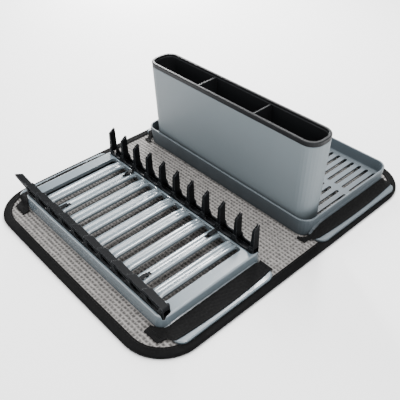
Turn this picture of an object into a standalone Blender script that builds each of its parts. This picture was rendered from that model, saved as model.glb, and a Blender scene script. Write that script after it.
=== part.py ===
"""Dish drying rack: plate rack with folding tines, drain tray and utensil caddy, strapped on a mat.

X runs along the rows of tines, Y runs from the plate rack to the tray, and the mat lies on Z = 0.
"""

import math

import bmesh
import bpy
from mathutils import Matrix, Vector

MM = 0.001
GAP = 0.3 * MM  # between two pieces that rest on each other or face each other

# Drying mat
MAT_X = 366 * MM
MAT_Y = 462 * MM
MAT_CORNER = 55 * MM
MAT_EDGE_Z = 6.0 * MM
PAD_TOP_Z = 5.6 * MM
BINDING_WIDTH = 12 * MM
BINDING_WRAP = 1.0 * MM
BINDING_EDGE = 2.0 * MM
BINDING_ROUND = 1.4 * MM

# Plate rack
TINE_COUNT = 11
TINE_PITCH = 28.2 * MM
ROW_SPACING = 135.5 * MM
RACK_CENTRE_Y = -115.5 * MM
RACK_END_MARGIN = 6.5 * MM
RACK_SIDE_MARGIN = 10.4 * MM
RACK_HEIGHT = 20.6 * MM
RACK_CORNER = 13 * MM
RACK_WALL = 2.4 * MM
RACK_DRAFT = 1.2 * MM
RACK_EDGE_ROUND = 1.6 * MM
SLAT_THICKNESS = 5 * MM
SLAT_WIDTH = 16.4 * MM
SLAT_RIDGE = 4.7 * MM
SLAT_VALLEY_DEPTH = 1.5 * MM
SLAT_SHOULDER_DROP = 2.4 * MM
SLAT_END_DIP = 1.6 * MM
SLAT_END_RUN = 15 * MM
SLAT_GAP_CORNER = 3.6 * MM
SLAT_TOP_SKIM = 0.05 * MM
SLAT_STEPS = 4
END_BAR_WIDTH = 17 * MM
SEAT_DEPTH = 5.5 * MM
SEAT_FLOOR = 2.6 * MM
CLIP_TINES = (2, 8)
CLIP_WIDTH = 5 * MM
CLIP_THICKNESS = 1.5 * MM
CLIP_HOOK = 2.2 * MM
CLIP_HOOK_DEPTH = 4.2 * MM
CLIP_SLOT_LENGTH = 12 * MM
CLIP_SLOT_SETBACK = 7 * MM

# Tines and the channels that carry them
TINE_LENGTH = 34 * MM
TINE_TIP_SLANT = 6 * MM
TINE_WIDTH = 9.0 * MM
TINE_DEPTH = 6.0 * MM
TINE_TIP_DEPTH = 3.2 * MM
TINE_GROOVE_WIDTH = 1.8 * MM
TINE_GROOVE_DEPTH = 5.8 * MM
TINE_BARREL_RADIUS = 3.0 * MM
TINE_PIN_RADIUS = 1.4 * MM
TINE_FOLD_DEG = 82
PIVOT_HEIGHT = 27.4 * MM
CHANNEL_WALL = 1.5 * MM
CHANNEL_FLOOR = 1.6 * MM
CHANNEL_CORNER = 4 * MM
LUG_RADIUS = 3.7 * MM
SADDLE_DROP = 4.4 * MM
SADDLE_CORNER = 5 * MM

# Wings at both ends of the rack and of the tray, and the straps over them
RACK_WING_REACH = 27 * MM
TRAY_WING_REACH = 20 * MM
RACK_WING_FRONT = 2 * MM
RACK_WING_BACK = 7 * MM
TRAY_WING_FRONT = 10 * MM
TRAY_WING_BACK = 6 * MM
WING_THICKNESS = 3.6 * MM
WING_ROUND = 1 * MM
WING_INSIDE = 9 * MM
WING_CORNER = 12 * MM
RACK_FLARE_RISE = 5.2 * MM
TRAY_FLARE_RISE = 11.4 * MM
FLARE_REACH = 13 * MM
FLARE_FRONT_RUN = 13 * MM
FLARE_BACK_RUN = 9 * MM
FLARE_STEPS = 6
FLARE_EDGE = 1.2 * MM
FLARE_ROOT = 1.8 * MM
FLARE_SINK = 0.1 * MM
STRAP_THICKNESS = 1.2 * MM
STRAP_SLIVER = 4.5 * MM
STRAP_END_SLIVER = 10.5 * MM
STRAP_RAMP = 5 * MM
STRAP_TAIL = 4 * MM
STRAP_CLEARANCE = 1.4 * MM
STRAP_STEPS = 5
STRAP_FIRST_STEP = 0.3 * MM
STRAP_LIFT = 0.5 * MM
RACK_TAB_REACH = 12.5 * MM
RACK_TAB_INNER = 17 * MM
RACK_TAB_OUTER = 6 * MM
TRAY_TAB_REACH = 3 * MM
TRAY_TAB_INNER = 10 * MM
TRAY_TAB_OUTER = 3 * MM

# Drain tray
TRAY_X = 317 * MM
TRAY_FRONT_Y = 26 * MM
TRAY_BACK_Y = 204 * MM
TRAY_HEIGHT = 27.4 * MM
TRAY_CORNER = 17 * MM
TRAY_WALL = 2.4 * MM
TRAY_DRAFT = 3 * MM
TRAY_FLOOR_Z = 11 * MM
TRAY_FLOOR = 2.4 * MM
TRAY_RIM_ROUND = 0.5 * MM
TRAY_FLOOR_ROUND = 1.5 * MM
DRAIN_SLOT_WIDTH = 5.0 * MM
DRAIN_SLOT_PITCH = 12.1 * MM
DRAIN_COLUMNS = 25
DRAIN_SLOT_LENGTHS = (59 * MM, 59 * MM, 17 * MM)
DRAIN_BACK_MARGIN = 4.5 * MM
DRAIN_BRIDGE = 9 * MM

# Utensil caddy
CADDY_X = 302 * MM
CADDY_Y = 43.5 * MM
CADDY_CORNER = 17 * MM
CADDY_TOP_ABOVE_FLOOR = 124 * MM
CADDY_TAPER_X = 4.2 * MM
CADDY_TAPER_Y = 1.0 * MM
CADDY_FOOT_ROUND = 1.5 * MM
CADDY_WALL = 2.0 * MM
CADDY_TRAY_CLEARANCE = 2.2 * MM
LINER_WALL = 1.8 * MM
LINER_BAND = 6.5 * MM
LINER_FIT = 0.4 * MM
LINER_FLOOR = 2.0 * MM
LINER_ROUND = 0.8 * MM
DIVIDER_THICKNESS = 2.2 * MM
DIVIDER_DROP = 3.5 * MM
MOUTH_STEP = 0.5 * MM
COMPARTMENTS = 3
CADDY_DRAIN_WIDTH = 5 * MM
CADDY_DRAIN_LENGTH = 34 * MM

# Places worked out from the sizes above
ROW_LENGTH = (TINE_COUNT - 1) * TINE_PITCH
RACK_X = ROW_LENGTH + 2 * RACK_END_MARGIN
RACK_Y = ROW_SPACING + 2 * RACK_SIDE_MARGIN
RACK_FRONT_Y = RACK_CENTRE_Y - RACK_Y / 2
RACK_BACK_Y = RACK_CENTRE_Y + RACK_Y / 2
RACK_BASE_Z = PAD_TOP_Z + GAP
RACK_TOP_Z = PAD_TOP_Z + RACK_HEIGHT
WING_BASE_Z = MAT_EDGE_Z + GAP
WING_TOP_Z = WING_BASE_Z + WING_THICKNESS
PIVOT_Z = PAD_TOP_Z + PIVOT_HEIGHT
CHANNEL_INNER = TINE_WIDTH + 2 * GAP
CHANNEL_OUTER = CHANNEL_INNER + 2 * CHANNEL_WALL
SEAT_WIDTH = CHANNEL_OUTER + 2 * GAP
SEAT_Z = RACK_TOP_Z - SEAT_DEPTH
CHANNEL_BASE_Z = SEAT_Z + GAP
TRAY_Y = TRAY_BACK_Y - TRAY_FRONT_Y
TRAY_CENTRE_Y = (TRAY_FRONT_Y + TRAY_BACK_Y) / 2
TRAY_TOP_Z = PAD_TOP_Z + TRAY_HEIGHT
TRAY_FLOOR_TOP_Z = PAD_TOP_Z + TRAY_FLOOR_Z
CADDY_BASE_Z = TRAY_FLOOR_TOP_Z + GAP
CADDY_TOP_Z = TRAY_FLOOR_TOP_Z + CADDY_TOP_ABOVE_FLOOR
SLEEVE_TOP_Z = CADDY_TOP_Z - LINER_BAND
CADDY_FRONT_Y = TRAY_FRONT_Y + TRAY_WALL + TRAY_DRAFT + CADDY_TRAY_CLEARANCE - CADDY_TAPER_Y
CADDY_CENTRE_Y = CADDY_FRONT_Y + CADDY_Y / 2
CIRCLE_STEPS = 16
END_FLAT = 0.01 * MM
LEAST_CORNER = 0.4 * MM
CORNER_STEPS = 6
RACK_WING = {
    "half_x": RACK_X / 2,
    "corner": RACK_CORNER,
    "wall_front": RACK_FRONT_Y,
    "wall_back": RACK_BACK_Y,
    "front": RACK_FRONT_Y + RACK_WING_FRONT,
    "back": RACK_BACK_Y - RACK_WING_BACK,
    "reach": RACK_WING_REACH,
    "rise": RACK_FLARE_RISE,
    "tab_reach": RACK_TAB_REACH,
    "tab_inner": RACK_TAB_INNER,
    "tab_outer": RACK_TAB_OUTER,
}
TRAY_WING = {
    "half_x": TRAY_X / 2,
    "corner": TRAY_CORNER,
    "wall_front": TRAY_FRONT_Y,
    "wall_back": TRAY_BACK_Y,
    "front": TRAY_FRONT_Y + TRAY_WING_FRONT,
    "back": TRAY_BACK_Y - TRAY_WING_BACK,
    "reach": TRAY_WING_REACH,
    "rise": TRAY_FLARE_RISE,
    "tab_reach": TRAY_TAB_REACH,
    "tab_inner": TRAY_TAB_INNER,
    "tab_outer": TRAY_TAB_OUTER,
}


def material(name, colour, roughness, metallic=0.0):
    """A Principled material with one plain colour."""
    made = bpy.data.materials.new(name)
    made.use_nodes = True
    shader = made.node_tree.nodes["Principled BSDF"]
    shader.inputs["Base Color"].default_value = (*colour, 1.0)
    shader.inputs["Roughness"].default_value = roughness
    shader.inputs["Metallic"].default_value = metallic
    return made


def add_object(name, mesh, surface=None):
    """Links a mesh to the scene as an object, with its material."""
    made = bpy.data.objects.new(name, mesh)
    bpy.context.scene.collection.objects.link(made)
    if surface:
        made.data.materials.append(surface)
    return made


def mesh_from(name, bm):
    """Closes a bmesh into a mesh whose faces all point out."""
    bmesh.ops.recalc_face_normals(bm, faces=bm.faces)
    mesh = bpy.data.meshes.new(name)
    bm.to_mesh(mesh)
    bm.free()
    return mesh


def rounded_outline(half_x, half_y, radius, steps=CORNER_STEPS):
    """The points of a rectangle with round corners, anticlockwise about the origin."""
    points = []
    for corner, (sx, sy) in enumerate(((1, 1), (-1, 1), (-1, -1), (1, -1))):
        centre = Vector((sx * (half_x - radius), sy * (half_y - radius)))
        for step in range(steps + 1):
            angle = math.radians(90) * (corner + step / steps)
            points.append(centre + radius * Vector((math.cos(angle), math.sin(angle))))
    return points


def rectangle_ring(size_x, size_y, radius, centre, inset, z):
    """One level of a rounded box: its outline moved in by an inset, at height z."""
    corner = max(radius - inset, LEAST_CORNER)
    outline = rounded_outline(size_x / 2 - inset, size_y / 2 - inset, corner)
    return [Vector((centre[0] + point.x, centre[1] + point.y, z)) for point in outline]


def loft(bm, rings, closed=False):
    """Joins rings of equal count into a skin, capped at both ends unless it closes on itself."""
    levels = [[bm.verts.new(point) for point in ring] for ring in rings]
    pairs = list(zip(levels, levels[1:]))
    if closed:
        pairs.append((levels[-1], levels[0]))
    for lower, upper in pairs:
        for index in range(len(lower)):
            following = (index + 1) % len(lower)
            bm.faces.new((lower[index], lower[following], upper[following], upper[index]))
    if not closed:
        bm.faces.new(list(reversed(levels[0])))
        bm.faces.new(levels[-1])


def lofted(name, rings, closed=False):
    """A mesh made of one loft."""
    bm = bmesh.new()
    loft(bm, rings, closed)
    return mesh_from(name, bm)


def add_box(bm, low, high):
    """Adds an axis-aligned box between two corners."""
    centre = (Vector(low) + Vector(high)) / 2
    size = Vector(high) - Vector(low)
    bmesh.ops.create_cube(bm, size=1, matrix=Matrix.LocRotScale(centre, None, size))


def add_cylinder_y(bm, centre, radius, length):
    """Adds a cylinder whose axis runs along Y."""
    turned = Matrix.Translation(centre) @ Matrix.Rotation(math.radians(90), 4, "X")
    bmesh.ops.create_cone(
        bm, cap_ends=True, segments=CIRCLE_STEPS, radius1=radius, radius2=radius, depth=length, matrix=turned
    )


def wall_x(half_x, corner, front_y, back_y, y):
    """How far out the wall of a rounded rectangle stands at one place along Y."""
    depth = min(y - front_y, back_y - y, corner)
    if depth <= 0:
        return half_x - corner
    return half_x - corner + math.sqrt(corner**2 - (corner - depth) ** 2)


def eased(share):
    """A smooth step from 0 to 1."""
    share = min(max(share, 0), 1)
    return share * share * (3 - 2 * share)


def add_slot_z(bm, centre, width, length, z_low, z_high):
    """Adds an upright slot cutter with round ends, long in Y."""
    outline = rounded_outline(width / 2, length / 2, width / 2 - END_FLAT, steps=3)
    rings = [[Vector((centre[0] + p.x, centre[1] + p.y, z)) for p in outline] for z in (z_low, z_high)]
    loft(bm, rings)


def tool(name, bm):
    """A hidden object that another object's Boolean uses."""
    made = add_object(name, mesh_from(name, bm))
    made.hide_render = True
    made.display_type = "WIRE"
    return made


def boolean(target, other, operation):
    """Adds an exact Boolean modifier."""
    modifier = target.modifiers.new(operation.title(), "BOOLEAN")
    modifier.operation = operation
    modifier.solver = "EXACT"
    modifier.object = other


def smooth(made, angle_deg=35):
    """Shades the round stretches smooth and keeps the corners sharp."""
    for polygon in made.data.polygons:
        polygon.use_smooth = True
    bm = bmesh.new()
    bm.from_mesh(made.data)
    for edge in bm.edges:
        if edge.is_manifold:
            edge.smooth = edge.calc_face_angle() < math.radians(angle_deg)
    bm.to_mesh(made.data)
    bm.free()


def build_mat(pad_surface, binding_surface):
    """The quilted pad, and the fabric binding that wraps its edge."""

    def ring(inset, z):
        return rectangle_ring(MAT_X, MAT_Y, MAT_CORNER, (0, 0), inset, z)

    slab = BINDING_WIDTH + GAP
    tongue = BINDING_EDGE + GAP
    tongue_low = BINDING_WRAP + GAP
    tongue_high = MAT_EDGE_Z - BINDING_WRAP - GAP
    pad_rings = [
        ring(slab, 0),
        ring(slab, tongue_low),
        ring(tongue, tongue_low),
        ring(tongue, tongue_high),
        ring(slab, tongue_high),
        ring(slab, PAD_TOP_Z),
    ]
    add_object("mat_pad", lofted("mat_pad", pad_rings), pad_surface)

    section = [
        (BINDING_WIDTH, 0),
        (BINDING_ROUND, 0),
        (0, BINDING_ROUND),
        (0, MAT_EDGE_Z - BINDING_ROUND),
        (BINDING_ROUND, MAT_EDGE_Z),
        (BINDING_WIDTH, MAT_EDGE_Z),
        (BINDING_WIDTH, MAT_EDGE_Z - BINDING_WRAP),
        (BINDING_EDGE, MAT_EDGE_Z - BINDING_WRAP),
        (BINDING_EDGE, BINDING_WRAP),
        (BINDING_WIDTH, BINDING_WRAP),
    ]
    rings = [ring(inset, z) for inset, z in section]
    binding = add_object("mat_binding", lofted("mat_binding", rings, closed=True), binding_surface)
    smooth(binding, 50)


def flare_rise(distance, y, wing):
    """How far a wing curves up towards its wall, at a distance out from that wall."""
    ends = eased((y - wing["front"]) / FLARE_FRONT_RUN) * eased((wing["back"] - y) / FLARE_BACK_RUN)
    share = min(max(1 - distance / FLARE_REACH, 0), 1)
    return wing["rise"] * ends * share**2


def add_wing(bm, side, wing):
    """A flat plate at mat level that passes under one end skirt and reaches out beyond it."""
    inner = wing["half_x"] - WING_INSIDE
    outer = wing["half_x"] + wing["reach"]
    span = wing["back"] - wing["front"]
    outline = rounded_outline((outer - inner) / 2, span / 2, WING_CORNER)
    centre_x = side * (outer + inner) / 2
    centre_y = (wing["back"] + wing["front"]) / 2
    rings = []
    for inset, z in ((0, 0), (0, WING_THICKNESS - WING_ROUND), (WING_ROUND, WING_THICKNESS)):
        scale_x = 1 - inset / WING_CORNER
        scale_y = 1 - 2 * inset / span
        rings.append([
            Vector((centre_x + point.x * scale_x, centre_y + point.y * scale_y, WING_BASE_Z + z))
            for point in outline
        ])
    loft(bm, rings)


def add_flare(bm, side, wing):
    """The curved foot that joins a wing to the wall above it."""
    rings = []
    for y in strap_places(wing):
        if not wing["front"] + FLARE_EDGE < y < wing["back"] - FLARE_EDGE:
            continue
        wall = wall_x(wing["half_x"], wing["corner"], wing["wall_front"], wing["wall_back"], y)
        ring = [Vector((side * (wall - FLARE_ROOT), y, WING_BASE_Z))]
        for step in range(FLARE_STEPS + 1):
            distance = FLARE_REACH * step / FLARE_STEPS
            z = WING_TOP_Z - FLARE_SINK + flare_rise(distance, y, wing)
            x = wall - FLARE_ROOT if step == 0 else wall + distance
            ring.append(Vector((side * x, y, z)))
        ring.append(Vector((side * (wall + FLARE_REACH), y, WING_BASE_Z)))
        rings.append(ring)
    loft(bm, rings)


def rack_ring(inset, z):
    """One level of the rack's rounded outline, moved in by an inset."""
    return rectangle_ring(RACK_X, RACK_Y, RACK_CORNER, (0, RACK_CENTRE_Y), inset, z)


def rack_shell_rings():
    """An upside-down tub: from the hollow's ceiling, down and round the skirt, up to a flat top."""
    return [
        rack_ring(RACK_WALL + RACK_DRAFT, RACK_TOP_Z - SLAT_THICKNESS),
        rack_ring(RACK_WALL, RACK_BASE_Z),
        rack_ring(0, RACK_BASE_Z),
        rack_ring(RACK_DRAFT, RACK_TOP_Z - RACK_EDGE_ROUND),
        rack_ring(RACK_DRAFT + 0.3 * RACK_EDGE_ROUND, RACK_TOP_Z - 0.3 * RACK_EDGE_ROUND),
        rack_ring(RACK_DRAFT + RACK_EDGE_ROUND, RACK_TOP_Z),
    ]


def bar_edges():
    """The X ranges of the gaps between the end bars and the slats."""
    half = RACK_X / 2 - RACK_DRAFT
    edges = [-half + END_BAR_WIDTH]
    for index in range(1, TINE_COUNT - 1):
        centre = tine_x(index)
        edges += [centre - SLAT_WIDTH / 2, centre + SLAT_WIDTH / 2]
    edges.append(half - END_BAR_WIDTH)
    return list(zip(edges[::2], edges[1::2]))


def tine_x(index):
    """The X place of one tine and of the slat under it."""
    return (index - (TINE_COUNT - 1) / 2) * TINE_PITCH


def row_y(side):
    """The Y place of a row of tines: side -1 is the front row and 1 the back row."""
    return RACK_CENTRE_Y + side * ROW_SPACING / 2


def clip_slot_y(side):
    """The middle of the slots that the clips of one row hook into."""
    return row_y(side) - side * (SEAT_WIDTH / 2 + CLIP_SLOT_SETBACK + CLIP_SLOT_LENGTH / 2)


def build_rack_frame(surface):
    """The plate rack's moulded frame: skirt, end bars, slats, seats for the channels, and wings."""
    frame = add_object("plate_rack_frame", lofted("plate_rack_frame", rack_shell_rings()), surface)

    ledges = bmesh.new()
    ledge_levels = (SEAT_Z - SEAT_FLOOR, RACK_TOP_Z - SLAT_THICKNESS / 2)
    loft(ledges, [rack_ring(RACK_DRAFT + RACK_WALL / 2, z) for z in ledge_levels])
    ledge_tool = tool("seat_ledge_tool", ledges)
    between = bmesh.new()
    inner_y = SEAT_WIDTH / 2 + RACK_WALL
    low = (-RACK_X, row_y(-1) + inner_y, 0)
    high = (RACK_X, row_y(1) - inner_y, 2 * RACK_TOP_Z)
    add_box(between, low, high)
    boolean(ledge_tool, tool("between_rows_tool", between), "DIFFERENCE")
    boolean(frame, ledge_tool, "UNION")

    cuts = bmesh.new()
    for side in (-1, 1):
        rings = [channel_plan(side, GAP, z) for z in (SEAT_Z, RACK_TOP_Z + SLAT_THICKNESS)]
        loft(cuts, rings)
    boolean(frame, tool("seat_cut_tool", cuts), "DIFFERENCE")

    gaps = bmesh.new()
    gap_length = row_y(1) - row_y(-1) - 2 * inner_y
    for low_x, high_x in bar_edges():
        outline = rounded_outline((high_x - low_x) / 2, gap_length / 2, SLAT_GAP_CORNER, steps=4)
        rings = []
        for z in (RACK_TOP_Z - 3 * SLAT_THICKNESS, RACK_TOP_Z + SLAT_THICKNESS):
            rings.append([Vector(((low_x + high_x) / 2 + p.x, RACK_CENTRE_Y + p.y, z)) for p in outline])
        loft(gaps, rings)
    boolean(frame, tool("slat_gap_tool", gaps), "DIFFERENCE")

    profiles = bmesh.new()
    for index in range(1, TINE_COUNT - 1):
        add_slat_profile(profiles, tine_x(index), row_y(-1) + inner_y, row_y(1) - inner_y)
    boolean(frame, tool("slat_profile_tool", profiles), "DIFFERENCE")

    slots = bmesh.new()
    for side in (-1, 1):
        for index in CLIP_TINES:
            half = Vector((CLIP_WIDTH / 2 + GAP, CLIP_SLOT_LENGTH / 2, 2 * SLAT_THICKNESS))
            middle = Vector((tine_x(index), clip_slot_y(side), RACK_TOP_Z))
            add_box(slots, middle - half, middle + half)
    boolean(frame, tool("clip_slot_tool", slots), "DIFFERENCE")

    wings = bmesh.new()
    flares = bmesh.new()
    for side in (-1, 1):
        add_wing(wings, side, RACK_WING)
        add_flare(flares, side, RACK_WING)
    boolean(frame, tool("rack_wing_tool", wings), "UNION")
    boolean(frame, tool("rack_flare_tool", flares), "UNION")


def slat_profile():
    """Half of a slat's rounded top, as (distance from the middle, depth below the top)."""
    half = SLAT_WIDTH / 2
    points = []
    for step in range(SLAT_STEPS + 1):
        angle = math.pi * step / SLAT_STEPS
        points.append((SLAT_RIDGE * step / SLAT_STEPS, SLAT_VALLEY_DEPTH * (0.5 + 0.5 * math.cos(angle))))
    for step in range(1, SLAT_STEPS + 1):
        share = step / SLAT_STEPS
        fall = SLAT_SHOULDER_DROP * (1 - math.sqrt(1 - 0.96 * share**2))
        points.append((SLAT_RIDGE + (half - SLAT_RIDGE) * share, fall))
    return points


def add_slat_profile(bm, x, low_y, high_y):
    """A cutter that leaves two rounded ridges along a slat, with a dip where the slat meets the back row."""
    half = slat_profile()
    section = [(-distance, depth) for distance, depth in reversed(half)] + half[1:]
    lid = 2 * SLAT_SHOULDER_DROP
    side = SLAT_WIDTH / 2 + MM
    run = [(low_y, 0.5), (low_y + SLAT_END_RUN / 3, 0)]
    for step in range(SLAT_STEPS + 1):
        share = step / SLAT_STEPS
        run.append((high_y - SLAT_END_RUN * (1 - share), eased(share)))
    rings = []
    for y, dip in run:
        sink = SLAT_TOP_SKIM + SLAT_END_DIP * dip
        ring = [Vector((x + distance, y, RACK_TOP_Z - depth - sink)) for distance, depth in section]
        ring += [
            Vector((x + side, y, ring[-1].z)),
            Vector((x + side, y, RACK_TOP_Z + lid)),
            Vector((x - side, y, RACK_TOP_Z + lid)),
            Vector((x - side, y, ring[0].z)),
        ]
        rings.append(ring)
    loft(bm, rings)


def channel_plan(side, grow, z):
    """A channel's outline from above at one height, grown by a clearance."""
    half_x = ROW_LENGTH / 2 + LUG_RADIUS + grow
    half_y = CHANNEL_OUTER / 2 + grow
    outline = rounded_outline(half_x, half_y, CHANNEL_CORNER + grow)
    return [Vector((point.x, row_y(side) + point.y, z)) for point in outline]


def channel_outline():
    """The side outline of a channel's walls: lugs round the pivots, with rounded hollows between them."""
    points = []
    saddle_z = PIVOT_Z - SADDLE_DROP
    for index in range(TINE_COUNT):
        x = tine_x(index)
        if index > 0:
            points += saddle_end(x - LUG_RADIUS, saddle_z, -1)
        for step in range(CIRCLE_STEPS // 2 + 1):
            angle = math.pi * (1 - 2 * step / CIRCLE_STEPS)
            lug = LUG_RADIUS * Vector((math.cos(angle), 0, math.sin(angle)))
            points.append(Vector((x, 0, PIVOT_Z)) + lug)
        if index < TINE_COUNT - 1:
            points += reversed(saddle_end(x + LUG_RADIUS, saddle_z, 1))
    end_x = ROW_LENGTH / 2 + LUG_RADIUS
    points.append(Vector((end_x, 0, CHANNEL_BASE_Z)))
    points.append(Vector((-end_x, 0, CHANNEL_BASE_Z)))
    return points


def saddle_end(x, low_z, side):
    """The rounded corner where a hollow climbs to a lug, from the hollow's floor to the lug."""
    points = []
    for step in range(4):
        angle = math.radians(90) * step / 4
        away = SADDLE_CORNER * (1 - math.sin(angle))
        points.append(Vector((x + side * away, 0, low_z + SADDLE_DROP * (1 - math.cos(angle)))))
    return points


def build_channel(name, side, surface):
    """One row's channel: a U of two walls with pin holes, and two clips that hook into the slats."""
    y = row_y(side)
    rings = []
    for edge in (-CHANNEL_OUTER / 2, CHANNEL_OUTER / 2):
        rings.append([point + Vector((0, y + edge, 0)) for point in channel_outline()])
    channel = add_object(name, lofted(name, rings), surface)

    plan = bmesh.new()
    loft(plan, [channel_plan(side, 0, z) for z in (CHANNEL_BASE_Z - MM, PIVOT_Z + 2 * LUG_RADIUS)])
    boolean(channel, tool(name + "_plan_tool", plan), "INTERSECT")

    inside = bmesh.new()
    half_x = ROW_LENGTH / 2 + 2 * LUG_RADIUS
    low = (-half_x, y - CHANNEL_INNER / 2, CHANNEL_BASE_Z + CHANNEL_FLOOR)
    high = (half_x, y + CHANNEL_INNER / 2, PIVOT_Z + 2 * LUG_RADIUS)
    add_box(inside, low, high)
    boolean(channel, tool(name + "_inside_tool", inside), "DIFFERENCE")

    clips = bmesh.new()
    for index in CLIP_TINES:
        add_clip(clips, tine_x(index), y, side)
    boolean(channel, tool(name + "_clip_tool", clips), "UNION")

    holes = bmesh.new()
    for index in range(TINE_COUNT):
        add_cylinder_y(holes, (tine_x(index), y, PIVOT_Z), TINE_PIN_RADIUS + GAP, 2 * CHANNEL_OUTER)
    boolean(channel, tool(name + "_hole_tool", holes), "DIFFERENCE")


def add_clip(bm, x, y, side):
    """An arm from the channel's inner wall over the slat, with a hook down through the slat's slot."""
    wall_y = y - side * (CHANNEL_OUTER / 2 - CHANNEL_WALL / 2)
    hook_y = clip_slot_y(side)
    end_y = hook_y - side * CLIP_HOOK / 2
    half = CLIP_WIDTH / 2
    top = RACK_TOP_Z + GAP + CLIP_THICKNESS
    bottom = RACK_TOP_Z + GAP
    foot = RACK_TOP_Z - CLIP_HOOK_DEPTH
    profile = [
        (wall_y, bottom),
        (hook_y + side * CLIP_HOOK / 2, bottom),
        (hook_y + side * CLIP_HOOK / 2, foot),
        (end_y, foot),
        (end_y, top),
        (wall_y, top),
    ]
    rings = [[Vector((x + edge, py, pz)) for py, pz in profile] for edge in (-half, half)]
    loft(bm, rings)


def tine_ring(side, z_inner, z_outer, back_x):
    """One level of a tine: a U whose web faces the plates and whose groove is open to the outside."""
    inner = -side * TINE_WIDTH / 2
    outer = side * TINE_WIDTH / 2
    bottom = outer - side * TINE_GROOVE_DEPTH
    front_x = TINE_DEPTH / 2
    middle = (front_x + back_x) / 2
    half_groove = TINE_GROOVE_WIDTH / 2

    def point(x, y):
        share = (y - inner) / (outer - inner)
        return Vector((x, y, z_inner + share * (z_outer - z_inner)))

    return [
        point(back_x, inner),
        point(front_x, inner),
        point(front_x, outer),
        point(middle + half_groove, outer),
        point(middle + half_groove, bottom),
        point(middle - half_groove, bottom),
        point(middle - half_groove, outer),
        point(back_x, outer),
    ]


def tine_mesh(side):
    """One tine, upright, with its pivot at the origin: blade, barrel and the two moulded pins."""
    name = "tine_front" if side < 0 else "tine_back"
    blade_rings = [
        tine_ring(side, 0, 0, -TINE_DEPTH / 2),
        tine_ring(side, TINE_LENGTH - TINE_TIP_SLANT, TINE_LENGTH, TINE_DEPTH / 2 - TINE_TIP_DEPTH),
    ]
    draft = add_object(name + "_draft", lofted(name + "_draft", blade_rings))
    barrel = bmesh.new()
    add_cylinder_y(barrel, (0, 0, 0), TINE_BARREL_RADIUS + END_FLAT, TINE_WIDTH)
    barrel_tool = tool(name + "_barrel_tool", barrel)
    boolean(draft, barrel_tool, "UNION")
    pins = bmesh.new()
    add_cylinder_y(pins, (0, 0, 0), TINE_PIN_RADIUS, CHANNEL_OUTER - 2 * GAP)
    pin_tool = tool(name + "_pin_tool", pins)
    boolean(draft, pin_tool, "UNION")
    bpy.context.view_layer.update()
    graph = bpy.context.evaluated_depsgraph_get()
    mesh = bpy.data.meshes.new_from_object(draft.evaluated_get(graph))
    for helper in (draft, barrel_tool, pin_tool):
        bpy.data.objects.remove(helper)
    return mesh


def build_tines(name, side, folded, surface):
    """A row of tines, each with its origin on its own pivot."""
    master = tine_mesh(side)
    for index in range(TINE_COUNT):
        tine = add_object(f"{name}_{index + 1:02d}", master.copy(), surface)
        tine.location = (tine_x(index), row_y(side), PIVOT_Z)
        tine.rotation_euler = (0, -math.radians(TINE_FOLD_DEG) if folded else 0, 0)
        smooth(tine)


def strap_level(distance, y, wing):
    """The height of the strap's underside at a distance out from the wall."""
    flat = MAT_EDGE_Z + GAP
    over_wing = WING_TOP_Z + STRAP_LIFT + flare_rise(distance, y, wing)
    front = eased((y - wing["front"] + STRAP_RAMP) / STRAP_RAMP)
    back = eased((wing["back"] + STRAP_TAIL - y) / STRAP_TAIL)
    return flat + (over_wing - flat) * front * back


def strap_edges(y, wing):
    """The inner and outer X of a strap at one place along Y."""
    half_x = wing["half_x"]
    inner = wall_x(
        half_x + STRAP_CLEARANCE,
        wing["corner"] + STRAP_CLEARANCE,
        wing["wall_front"] - STRAP_CLEARANCE,
        wing["wall_back"] + STRAP_CLEARANCE,
        y,
    )
    if y <= wing["wall_front"] - STRAP_CLEARANCE:
        inner = half_x - wing["tab_inner"]
    middle = (wing["front"] + wing["back"]) / 2
    span = (wing["back"] - wing["front"]) / 2
    bulge = max(math.cos(math.radians(80) * (y - middle) / span), 0) ** 0.6
    outer = half_x + wing["reach"] - STRAP_END_SLIVER + (STRAP_END_SLIVER - STRAP_SLIVER) * bulge
    spread = eased((y - wing["front"] + STRAP_RAMP) / STRAP_RAMP)
    return inner, half_x + wing["tab_outer"] + (outer - half_x - wing["tab_outer"]) * spread


def strap_places(wing):
    """The places along Y where a strap's cross-section is set."""
    front = wing["wall_front"]
    places = [front - wing["tab_reach"], front - STRAP_CLEARANCE]
    corner_steps = [front - STRAP_CLEARANCE + STRAP_FIRST_STEP]
    for step in range(1, STRAP_STEPS + 1):
        corner_steps.append(front + wing["corner"] * (1 - math.cos(math.radians(90) * step / STRAP_STEPS)))
    places += corner_steps
    start = places[-1]
    back = wing["back"] - FLARE_BACK_RUN
    places += [start + (back - start) * step / (2 * STRAP_STEPS) for step in range(1, 2 * STRAP_STEPS + 1)]
    end = wing["back"] + STRAP_TAIL + MM
    places += [back + (end - back) * step / STRAP_STEPS for step in range(1, STRAP_STEPS + 1)]
    return places


def build_strap(name, side, wing, surface):
    """A strap lofted through its cross-sections, each bent to the surface under it."""
    rings = []
    for y in strap_places(wing):
        inner, outer = strap_edges(y, wing)
        wall = wall_x(wing["half_x"], wing["corner"], wing["wall_front"], wing["wall_back"], y)
        under = []
        for step in range(STRAP_STEPS + 1):
            x = inner + (outer - inner) * step / STRAP_STEPS
            under.append(Vector((side * x, y, strap_level(x - wall, y, wing))))
        over = [point + Vector((0, 0, STRAP_THICKNESS)) for point in reversed(under)]
        rings.append(under + over)
    strap = add_object(name, lofted(name, rings), surface)
    smooth(strap, 40)


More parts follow.
